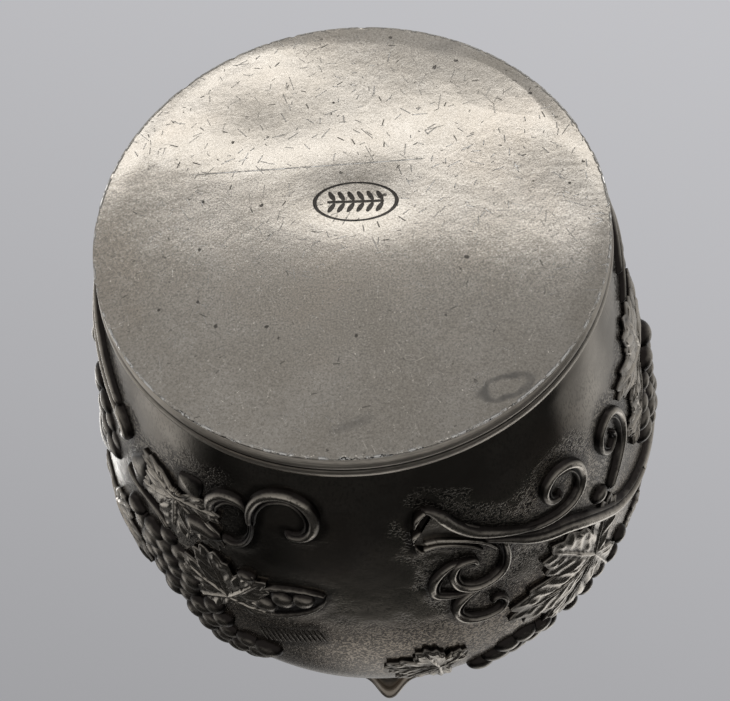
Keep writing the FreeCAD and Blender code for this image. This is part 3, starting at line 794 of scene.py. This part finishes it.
def leaf_outline(theta):
    """Reach of the leaf's edge from its stalk, for a leaf of length 1."""
    reach = np.full(theta.shape, 0.17)
    for lobe, size in LOBES:
        away = np.abs((theta - lobe + 180) % 360 - 180)
        blade = size * np.clip(1 - (away / 48) ** 1.9, 0, 1)
        reach = np.maximum(reach, blade)
    teeth = np.abs(((theta / 12 + 0.25) % 1) - 0.5) * 2
    return reach * (1 + 0.13 * (teeth - 0.5))


def leaf_height(theta, r, size):
    """Height of the blade over 0..1.4 and how far each point is rubbed bright."""
    aside = np.full(theta.shape, 1e3)
    along = np.zeros(theta.shape)
    for lobe, _ in LOBES:
        away = np.radians((theta - lobe + 180) % 360 - 180)
        side = np.where(np.abs(away) < 1.1, np.abs(r * np.sin(away)), 1e3)
        nearer = side < aside
        aside = np.where(nearer, side, aside)
        along = np.where(nearer, r * np.cos(away), along)
    aside = aside / MM
    along = along / MM
    vein_pitch = 3.4
    phase = ((along - aside) / vein_pitch) % 1
    side_vein = np.exp(-((phase - 0.5) * vein_pitch / 0.42) ** 2) * smoothstep(0.1, 0.6, aside)
    panel = np.abs(np.cos(math.pi * phase)) ** 0.7
    panel = panel * (1 - np.exp(-(aside / 0.8) ** 2))
    main_vein = np.exp(-((aside / 0.42) ** 2)) * smoothstep(size / MM, size / MM * 0.6, along)
    height = 0.35 + 0.42 * panel + 0.20 * side_vein + 0.45 * main_vein
    worn = 0.15 + 0.75 * panel + 0.30 * side_vein + 0.8 * main_vein
    return height, np.clip(worn, 0, 1)


def leaf_strips(angle, height, length, heading, seed):
    """Angles, heights, lifts and wear of a leaf laid on the wall around its stalk."""
    theta = np.linspace(-180, 180, LEAF_SPOKES)
    t = np.linspace(0, 1, LEAF_RINGS) ** 0.85
    size = length * 0.56 * MM
    flat = np.stack([np.cos(np.radians(theta)), np.sin(np.radians(theta)), 0 * theta], -1)
    edge = leaf_outline(theta) * size * (1 + 0.10 * rough(flat, 2.2, seed))
    r = np.outer(t, edge)
    spokes = np.broadcast_to(theta, r.shape)
    tall, worn = leaf_height(spokes, r, size)
    turn = np.radians(spokes)
    flat = np.stack([r * np.cos(turn), r * np.sin(turn), 0 * r], -1)
    crumple = rough(flat, 150, seed) + 0.3 * rough(flat, 420, seed)
    rim = smoothstep(0.86, 0.97, t)[:, None]
    lift = (tall + 0.38 * crumple) * (1 - 0.7 * rim) + 0.30 * rim
    lift = np.maximum(lift, 0.12) * LEAF_RISE
    worn = np.clip(worn + 0.35 * crumple, 0, 1) * (1 - rim) + 0.50 * rim
    r = np.concatenate([r, r[-1:], r[-1:] * 0.99])
    lift = np.concatenate([lift, lift[-1:] * 0.45, np.full((1, LEAF_SPOKES), -SINK)])
    worn = np.concatenate([worn, worn[-1:] * 0.3, worn[-1:] * 0])
    spokes = np.concatenate([spokes, spokes[-1:], spokes[-1:]])
    turn = np.radians(spokes + heading)
    back = length * 0.18 * MM
    a = r * np.cos(turn) - back * math.cos(math.radians(heading))
    b = r * np.sin(turn) - back * math.sin(math.radians(heading))
    wall_angle, level = beside((angle, height * MM), a, b)
    return wall_angle[:, ::-1], level[:, ::-1], lift[:, ::-1], worn[:, ::-1]


def leaves():
    for name, place in LEAVES.items():
        blades = [leaf_strips(*place)]
        if name == "leaf_side":
            blades.append(leaf_strips(*YOUNG_LEAF))
        for angle, height, _, _ in blades:
            note_places(angle[::6, ::6], height[::6, ::6])
        relief_piece("vine_" + name, name, blades)


POD_PLACE = (163.4, 41.2 * MM)
POD_TILT = math.radians(-30)
POD_HALF = (9.8 * MM, 4.6 * MM)
POD_BUDS = ((-0.30, 0.10), (0.16, -0.16), (0.55, 0.02))     # along and aside, in half sizes
RIB_COUNT = 13


def pod():
    """Folded young leaf beside the handle: an almond with a raised rim and three buds."""
    v, u = np.meshgrid(np.linspace(-1, 1, 33), np.linspace(-1, 1, 81))
    spread = np.clip(1 - np.abs(u) ** 2.4, 0, 1) ** 0.75
    along = u * POD_HALF[0]
    aside = v * POD_HALF[1] * spread
    a = along * math.cos(POD_TILT) - aside * math.sin(POD_TILT)
    b = along * math.sin(POD_TILT) + aside * math.cos(POD_TILT)
    rim = np.exp(-((np.abs(v) - 0.84) / 0.10) ** 2)
    buds = np.zeros(u.shape)
    for bud_u, bud_v in POD_BUDS:
        ball = 1 - ((u - bud_u) / 0.20) ** 2 - ((v - bud_v) / 0.46) ** 2
        buds = np.maximum(buds, np.sqrt(np.clip(ball, 0, 1)))
    lift = (0.30 + 0.50 * rim + 1.05 * buds + 0.03 * np.cos(u * 30)) * MM
    worn = np.clip(0.05 + 0.55 * rim + 0.60 * buds, 0, 1)
    lift[:, 0] = lift[:, -1] = -SINK
    lift[0, :] = lift[-1, :] = -SINK
    angle, height = beside(POD_PLACE, a, b)
    note_places(angle[::5, ::5], height[::5, ::5])
    strips = [(angle, height, lift, worn)]
    for i in range(RIB_COUNT):
        start = (158.4 + 1 * i, 52.6 - 0.34 * i)
        end = (start[0] + 1.8, start[1] + 5.4 - 0.12 * i)
        strips.append(strip([start, end], (0.65, 0.35), 0.26 * MM, round_section, across=7, per_span=6))
    relief_piece("folded_leaf", "leaf_pod", strips)


# name: angle, height mm, berries in each row, heading of the tip, how round each berry is
BUNCHES = {
    "grapes_front": (28.6, 71.5, (2, 3, 3, 2, 1), 160, 0.7),
    "grapes_middle": (83, 43.5, (3, 4, 4, 3, 2, 1), -60, 0.9),
    "grapes_side": (92, 80, (3, 4, 3, 2), -20, 0.9),
    "grapes_low": (109, 31, (3, 4, 3, 2, 1), -100, 0.55),
    "grapes_rear": (136.4, 50, (3, 4, 4, 4, 3, 2), 70, 0.65),
    "grapes_handle": (153.6, 65, (3, 4, 3, 2, 1), -35, 0.7),
}
# single berries and buds: angle, height mm, radius mm
BEADS = [(53.2, 40.6, 1.8), (147.9, 21.4, 1.2), (42.6, 71, 2.1),
         (46.6, 69, 2.2), (50, 66, 2.1), (127, 42, 2.2), (55, 68, 2.2),
         (58, 64.5, 2.1), (157.2, 36.2, 1.6), (40, 47, 1.3), (145.4, 56, 2.5),
         (147.6, 59.6, 2.4), (143.6, 60.4, 2.5), (148.6, 53, 2.3), (150.4, 56.6, 2.3), (146, 63.6, 2.5)]
BERRY_RINGS = 12
BERRY_SPOKES = 18


def berry(angle, height, radius, lift, roundness, draw):
    """One grape: an uneven ball, part sunk in the wall, with its crown rubbed bright, which also paints a
    small highlight.
    """
    centre = on_wall(angle, height, lift)
    normal = on_wall(angle, height, lift + 1) - centre
    across = np.cross([0, 0, 1], normal)
    across /= np.linalg.norm(across)
    upward = np.cross(normal, across)
    polar = np.linspace(0, math.pi * 0.60, BERRY_RINGS)
    spokes = np.linspace(0, 2 * math.pi, BERRY_SPOKES, endpoint=False)
    p, s = np.meshgrid(polar, spokes, indexing="ij")
    stretch = 1.06 + draw.uniform(-0.06, 0.12)
    local = (np.cos(p)[..., None] * normal * roundness
             + np.sin(p)[..., None] * (np.cos(s)[..., None] * across * stretch
                                       + np.sin(s)[..., None] * upward / stretch))
    # wear of each point: brightest at the crown, a rubbed top that also paints a highlight
    return centre + radius * local, np.clip(0.08 + 0.66 * np.cos(p) ** 3, 0.02, 1)


def bunch(name, places, node):
    """All the berries of one bunch as one piece on each side."""
    note_places([p[0] for p in places], [p[1] for p in places])
    draw = random.Random(name)
    joined_piece(name, node, [berry(*place, draw) for place in places], closed=True)


def bunches():
    for name, (angle, height, rows, heading, roundness) in BUNCHES.items():
        draw = random.Random(name + "rows")
        turn = math.radians(heading)
        pitch = BERRY * 1.58
        places = []
        for row, count in enumerate(rows):
            along = (row - (len(rows) - 1) / 2) * pitch * 0.86
            for i in range(count):
                aside = (i - (count - 1) / 2) * pitch
                a = along * math.cos(turn) - aside * math.sin(turn) + draw.uniform(-0.35, 0.35) * MM
                b = along * math.sin(turn) + aside * math.cos(turn) + draw.uniform(-0.35, 0.35) * MM
                spot_angle, level = beside((angle, height * MM), a, b)
                radius = BERRY * draw.uniform(0.90, 1.14)
                middle = 1 - min(1, abs(aside) / (2.2 * pitch))
                lift = (0.9 * middle - 0.9) * MM * draw.uniform(0.7, 1.1)
                places.append((float(spot_angle), float(level), radius, lift, roundness))
        bunch("bunch_" + name, places, name)
    single = [(angle, height * MM, radius * MM, 0, 0.75) for angle, height, radius in BEADS]
    bunch("single_berries", single, None)


# ---- walls ------------------------------------------------------------------------------
WALL_STEP_ANGLE = 0.5
WALL_STEP_HEIGHT = 0.5 * MM


def relief_distance(angles, heights):
    """Distance along the wall from each point to the nearest relief, in metres."""
    tree = KDTree(len(relief_places) * 3)
    for angle, height in relief_places:
        for turn in (-180, 0, 180):
            tree.insert(Vector(on_wall(angle + turn, height)), 0)
    tree.balance()
    points = on_wall(angles, heights).reshape(-1, 3)
    return np.array([tree.find(Vector(p))[2] for p in points]).reshape(np.shape(angles))


def body_walls():
    """Two cast half shells with a faint seam; outer wall matted, with patina and a painted shade near the
    relief.
    """
    angles = np.arange(0, 180 + WALL_STEP_ANGLE / 2, WALL_STEP_ANGLE)
    levels = np.arange(FOOT_TOP, NECK_JOINT, WALL_STEP_HEIGHT)
    levels = np.append(levels, NECK_JOINT)
    angle, height = np.meshgrid(angles, levels)
    far = relief_distance(angle, height) / MM
    edge = rough(on_wall(angle, height), 300, 6)
    matting = smoothstep(6.8, 1.8, far + 2.4 * edge)
    matting = matting * (1 - 0.8 * smoothstep(146, 160, angle)) * smoothstep(6, 18, angle + 20 * edge)
    matting = np.maximum(matting, 0.85 * smoothstep(41 * MM, 49 * MM, height + 4 * MM * edge))
    # painted shade and patina on the wall within about 1.6 mm of the relief
    shade = smoothstep(1.6, 0.5, far + 0.6 * edge) * 0.75
    place = on_wall(angle, height)
    dents = 0.10 * MM * rough(place, 40, 1)
    swell = 0.05 * MM * smoothstep(2.5, 0.5, far)
    seam_edge = smoothstep(0, 9, np.minimum(angle, 180 - angle))
    proud = (dents + swell) * smoothstep(FOOT_TOP, FOOT_TOP + 3 * MM, height) * seam_edge
    proud = proud * smoothstep(NECK_JOINT, NECK_JOINT - 3 * MM, height)
    outer = on_wall(angle, height, proud)
    inner_angle, inner_height = np.meshgrid(np.linspace(0, 180, 73),
                                            np.linspace(FOOT_TOP, NECK_JOINT, 60))
    inner = on_wall(inner_angle, inner_height, -WALL)
    for side, turn in SIDES.items():
        make_piece("wall_" + side, turned(outer, turn), grid_faces(*angle.shape), WALL_METAL,
                   "wall_pewter", ["body_half_" + side], matting=matting, shade=shade)
        make_piece("wall_inside_" + side, turned(inner, turn), grid_faces(*inner_angle.shape, flip=True),
                   INSIDE_METAL, "wall_pewter")


# ---- neck, lip and rim ------------------------------------------------------------------
LIP_HALF_ANGLE = 15


def neck_radius(angle, height):
    """Neck outline with the lip drawn out to the front near the mouth."""
    base = wall_radius(height)
    rising = smoothstep(NECK_JOINT + 1 * MM, HEIGHT, height) ** 1.3
    away = np.abs((angle + 180) % 360 - 180)
    spread = 4.4 + 3 * smoothstep(HEIGHT, NECK_JOINT + 6 * MM, height)
    peak = np.exp(-(away / spread) ** 2.1)
    return base + (LIP_TIP - MOUTH_RADIUS - 1.3 * MM) * rising * peak


def neck_part(name, low, high, replaced):
    """Closed shell of the neck between two angles."""
    count = int((high - low) / 0.75) + 1
    levels = np.linspace(NECK_JOINT, HEIGHT - 0.5 * MM, 40)
    angle, height = np.meshgrid(np.linspace(low, high, count), np.concatenate([levels, levels[::-1]]))
    inset = np.repeat([0, WALL * 0.9], len(levels))[:, None]
    points = around_axis(angle, neck_radius(angle, height) - inset, height)
    last = angle.size - count
    faces = grid_faces(*angle.shape)
    faces += [[i, i + 1, last + i + 1, last + i] for i in range(count - 1)]
    make_piece(name, points, faces, TRIM_METAL, "trim_pewter", replaced, rise=np.full(angle.shape, 0.55))


def rim_bead():
    """Rounded bead that follows the mouth and the lip."""
    around = np.append(np.linspace(0, 2 * math.pi, 16, endpoint=False), 0)
    angle, t = np.meshgrid(np.linspace(0, 360, 720, endpoint=False), around)
    outward = neck_radius(angle, np.full(angle.shape, HEIGHT)) - 0.2 * MM + BEAD * np.cos(t)
    points = around_axis(angle, outward, HEIGHT - BEAD + BEAD * np.sin(t))
    make_piece("mouth_bead", points, grid_faces(*t.shape, closed=True, flip=True), TRIM_METAL,
               "trim_pewter", ["rim_band"], rise=0.55 + 0.35 * np.cos(t - 0.6))


# ---- handle -----------------------------------------------------------------------------
HANDLE_CENTRE = 50 * MM       # how far its arc's middle is from the axis
HANDLE_SWEEP = (-91.5, 100)   # ends of the arc, in degrees
HANDLE_KNOTS = (0.24, 0.47, 0.71)
HANDLE_STEPS = 240
HANDLE_SPOKES = 72


def handle():
    """Vine-branch handle: ridged, knotty rod that swells where it meets the body."""
    radius = (HANDLE_HIGH.x - HANDLE_LOW.x) / 2
    half_y = HANDLE_HIGH.y - radius - HANDLE_CENTRE
    half_z = (HANDLE_HIGH.z - HANDLE_LOW.z) / 2 - radius
    middle_z = (HANDLE_HIGH.z + HANDLE_LOW.z) / 2
    turn = np.radians(np.linspace(*HANDLE_SWEEP, HANDLE_STEPS))
    path = np.stack([0 * turn, HANDLE_CENTRE + half_y * np.cos(turn),
                     middle_z + half_z * np.sin(turn)], -1)
    along = np.gradient(path, axis=0)
    along /= np.linalg.norm(along, axis=1)[:, None]
    side = np.array([1, 0, 0])
    normal = np.cross(side, along)[:, None]
    t, around = np.meshgrid(np.linspace(0, 1, HANDLE_STEPS),
                            np.linspace(0, 2 * math.pi, HANDLE_SPOKES, endpoint=False), indexing="ij")
    swell = 1 + 0.28 * np.exp(-(t / 0.10) ** 2) + 0.30 * np.exp(-((1 - t) / 0.10) ** 2)
    knots = sum(0.13 * np.exp(-((t - k) / 0.030) ** 2) for k in HANDLE_KNOTS)
    twist = around + 1.6 * t
    groove = 0.06 * np.cos(7 * twist + 3 * np.sin(9 * t)) + 0.03 * np.cos(17 * twist)
    reach = (radius * 0.88 * (swell + knots + groove))[..., None]
    outward = reach * (np.cos(around)[..., None] * side + np.sin(around)[..., None] * normal)
    points = path[:, None] + outward
    uneven = rough(points, 260, 8)
    points = points + outward * (0.05 * uneven)[..., None]
    least = wall_radius(points[..., 2]) - 0.8 * WALL          # keeps the ends out of the bowl
    points[..., :2] *= np.maximum(1, least / np.hypot(points[..., 0], points[..., 1]))[..., None]
    faces = grid_faces(*t.shape, closed=True)
    faces.append(list(range(HANDLE_SPOKES)))
    faces.append(list(range(t.size - HANDLE_SPOKES, t.size))[::-1])
    make_piece("branch_handle", points, faces, HANDLE_METAL, "handle_pewter", ["handle_branch"],
               rise=np.clip(0.62 + 4.5 * groove + 0.25 * uneven, 0, 1))


def handle_leaf(name, node, height, length, heading, seed):
    angle, level, lift, worn = leaf_strips(180, height, length, heading, seed)
    make_piece(name, on_wall(angle, level, lift * 1.2), grid_faces(*angle.shape), HANDLE_METAL,
               "handle_pewter", [node], rise=worn)


# ---- build the object -------------------------------------------------------------------
base_plate()
foot_ring()
for piece_name, (vine_node, strands) in VINE.items():
    relief_piece(piece_name, vine_node, [strip(*strand) for strand in strands])
leaves()
pod()
bunches()
handle_leaf("upper_handle_leaf", "handle_leaf_upper", 95, 24, -90, 11)
handle_leaf("lower_handle_leaf", "handle_leaf_lower", 44, 20, -90, 12)
body_walls()
neck_part("neck", LIP_HALF_ANGLE, 360 - LIP_HALF_ANGLE, ["neck_collar"])
neck_part("lip", -LIP_HALF_ANGLE, LIP_HALF_ANGLE, ["pouring_lip"])
rim_bead()
handle()


# ---- stage, light and camera ------------------------------------------------------------
PALE = (0.99, 0.99, 1.03, 1)


def floor():
    """Pale floor. It is clear from underneath, so that the base can be looked at from below."""
    size, level = 60, -0.4 * MM
    mesh = bpy.data.meshes.new("floor")
    mesh.from_pydata([(-size, -size, level), (size, -size, level), (size, size, level),
                      (-size, size, level)], [], [[0, 1, 2, 3]])
    plane = bpy.data.objects.new("floor", mesh)
    bpy.context.scene.collection.objects.link(plane)
    s = Shader("floor")
    paint = s.add("BsdfPrincipled", {"Base Color": (0.80, 0.80, 0.82, 1), "Roughness": 0.9,
                                     "Emission Color": PALE, "Emission Strength": 0.22})
    clear = s.add("BsdfTransparent")
    underside = s.add("NewGeometry").outputs["Backfacing"]
    mesh.materials.append(s.finish(s.blend(underside, paint, clear)))
    plane.visible_diffuse = False
    plane.visible_glossy = False
    plane.visible_transmission = False
    plane.visible_shadow = False


# bright patches of the studio: direction, cosine where each starts and where it is full, brightness
PATCHES = [((-0.80, 0.02, 0.60), 0.965, 0.995, 0.24), ((0.76, -0.12, 0.63), 0.970, 0.998, 0.36),
           ((0.01, -0.485, 0.875), 0.966, 0.991, 0.21), ((-0.45, -0.08, 0.89), 0.955, 0.990, 0.55)]


def surroundings():
    """Studio around the object: pale for the camera, shaded for the metal's reflections."""
    world = bpy.data.worlds.new("studio")
    bpy.context.scene.world = world
    world.use_nodes = True
    s = Nodes(world.node_tree)
    view = s.add("TexCoord").outputs["Generated"]

    def toward(direction, low, high, start, end):
        """Smooth change from start to end as the view turns towards a direction."""
        return s.ramp(s.dot(view, Vector(direction).normalized()), low, high, start, end)

    front = toward((-0.25, -0.97, 0), 0.02, 0.30, 0, 1)
    low = toward((0, 0, 1), 0.795, 0.735, 0, 0.945)
    level_up = toward((0, 0, 1), -0.20, 0.14, 0, 1)
    reflected = s.minus(1, s.times(s.times(front, low), level_up))
    reflected = s.times(reflected, toward((0.50, -0.22, 0.84), 0.88, 0.96, 1, 0.18))
    reflected = s.times(reflected, toward((0, 0, -1), -0.2, 0.5, 0.42, 0.38))
    behind = toward((0, 1, 0), 0.575, 0.61, 0, 1)
    under = toward((0, 0, -1), 0.3, 0.5, 0, 1)
    glow = s.times(s.times(behind, under), toward((0, 1, 0), 0.665, 0.630, 0.12, 2))
    reflected = s.plus(reflected, glow)
    for direction, start, full, brightness in PATCHES:
        reflected = s.plus(reflected, toward(direction, start, full, 0, brightness))
    shade = s.add("Background", {"Strength": reflected, "Color": (1, 0.99, 0.975, 1)})
    slope = s.dot(view, (-0.083, 0.213, -0.108))
    backdrop = s.plus(slope, toward((0, 0, 1), 0.45, 0.15, 0.455, 0.72))
    pale = s.add("Background", {"Strength": backdrop, "Color": PALE})
    seen = s.add("LightPath").outputs["Is Camera Ray"]
    s.add("OutputWorld", {0: s.blend(seen, shade, pale).outputs[0]})


KEY_PLACE = (0.32, 0.30, 0.58)
KEY_TARGET = (0, 0, 0.05)
KEY_SIDE = 0.30
KEY_BRIGHTNESS = 2


def key_light():
    """One square soft light above the handle's side; not seen by the camera."""
    data = bpy.data.lights.new("key", "AREA")
    data.shape = "RECTANGLE"
    data.size = data.size_y = KEY_SIDE
    data.energy = KEY_BRIGHTNESS * math.pi * KEY_SIDE * KEY_SIDE
    data.color = (1, 0.99, 0.97)
    lamp = bpy.data.objects.new("key", data)
    bpy.context.scene.collection.objects.link(lamp)
    lamp.location = KEY_PLACE
    lamp.rotation_mode = "QUATERNION"
    lamp.rotation_quaternion = (Vector(KEY_TARGET) - Vector(KEY_PLACE)).to_track_quat("-Z", "Y")
    lamp.visible_camera = False


# the camera looks up at the base from in front of the lip, a little rolled
CAMERA_TURN = math.radians(-8.8)       # whole camera about the object's axis
CAMERA_PLACE = (0.016, -2.458, -3.443)  # in base radii, before the turn
CAMERA_TILT = math.radians(28.6)
CAMERA_ROLL = math.radians(-8.96)
CAMERA_LENS = 54


def camera():
    data = bpy.data.cameras.new("camera")
    data.lens = CAMERA_LENS
    data.sensor_width = 36
    cam = bpy.data.objects.new("camera", data)
    bpy.context.scene.collection.objects.link(cam)
    c, s = math.cos(CAMERA_TILT), math.sin(CAMERA_TILT)
    level = Vector((-1, 0, 0))
    steep = Vector((0, -c, s))
    right = level * math.cos(CAMERA_ROLL) - steep * math.sin(CAMERA_ROLL)
    down = level * math.sin(CAMERA_ROLL) + steep * math.cos(CAMERA_ROLL)
    forward = Vector((0, s, c))
    turn = Matrix.Rotation(CAMERA_TURN, 4, "Z")
    axes = Matrix((right, -down, -forward)).transposed().to_4x4()
    place = Matrix.Translation(Vector(CAMERA_PLACE) * BASE_RADIUS)
    cam.matrix_world = turn @ place @ axes
    data.clip_start = 0.005
    bpy.context.scene.camera = cam


floor()
surroundings()
key_light()
camera()
bpy.context.scene.view_settings.view_transform = "Standard"
